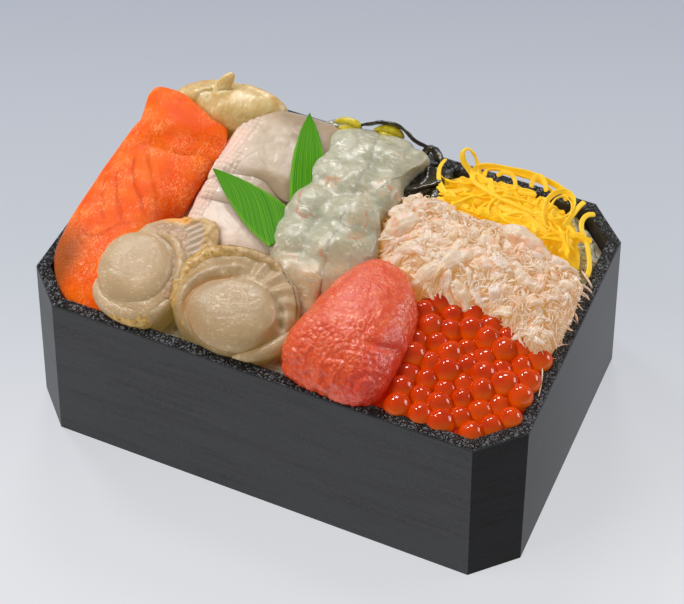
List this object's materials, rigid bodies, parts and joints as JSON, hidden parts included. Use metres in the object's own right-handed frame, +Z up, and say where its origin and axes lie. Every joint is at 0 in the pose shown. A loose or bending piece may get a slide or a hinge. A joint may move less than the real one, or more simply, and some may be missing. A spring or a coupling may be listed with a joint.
{
  "type": "seafood rice box",
  "caption": "Octagonal foam lunch box filled with rice and heaped with raw fish, scallops, prawns, squid, crab meat, roe, egg strips and leaves.",
  "frame": {"origin": "middle of the box's base, on the table plane", "axes": "+X along the box's length to the right of the picture, +Y to its far side, +Z up"},
  "size_m": [0.1596, 0.1076, 0.0722],
  "materials": {
    "tray": "matte, fine foam beads",
    "rice_bed": "soft sheen",
    "salmon_slice_lower": "wet gloss",
    "salmon_slice_upper": "wet gloss",
    "pickled_ginger": "moist sheen",
    "squid_slice_low": "wet gloss",
    "squid_slice_middle": "wet gloss",
    "squid_slice_top": "wet gloss",
    "leaf_left": "satin",
    "leaf_right": "satin",
    "prawn_left": "wet gloss",
    "prawn_right": "wet gloss",
    "simmered_kelp": "moist sheen",
    "yellow_piece_left": "wet gloss",
    "yellow_piece_right": "wet gloss",
    "scallop_left": "wet gloss",
    "scallop_right": "wet gloss",
    "pollock_roe": "wet gloss",
    "crab_meat": "soft sheen",
    "egg_strips": "soft sheen",
    "salmon_roe": "wet gloss"
  },
  "bodies": {
    "root": {"tray": "tray", "rice_bed": "rice_bed", "salmon_slice_lower": "salmon_slice_lower", "salmon_slice_upper": "salmon_slice_upper", "pickled_ginger": "pickled_ginger", "squid_slice_low": "squid_slice_low", "squid_slice_middle": "squid_slice_middle", "squid_slice_top": "squid_slice_top", "leaf_left": "leaf_left", "leaf_right": "leaf_right", "prawn_left": "prawn_left", "prawn_right": "prawn_right", "simmered_kelp": "simmered_kelp", "yellow_piece_left": "yellow_piece_left", "yellow_piece_right": "yellow_piece_right", "scallop_left": "scallop_left", "scallop_right": "scallop_right", "pollock_roe": "pollock_roe", "crab_meat": "crab_meat", "egg_strips": "egg_strips", "salmon_roe": "salmon_roe"}
  },
  "joints": []
}
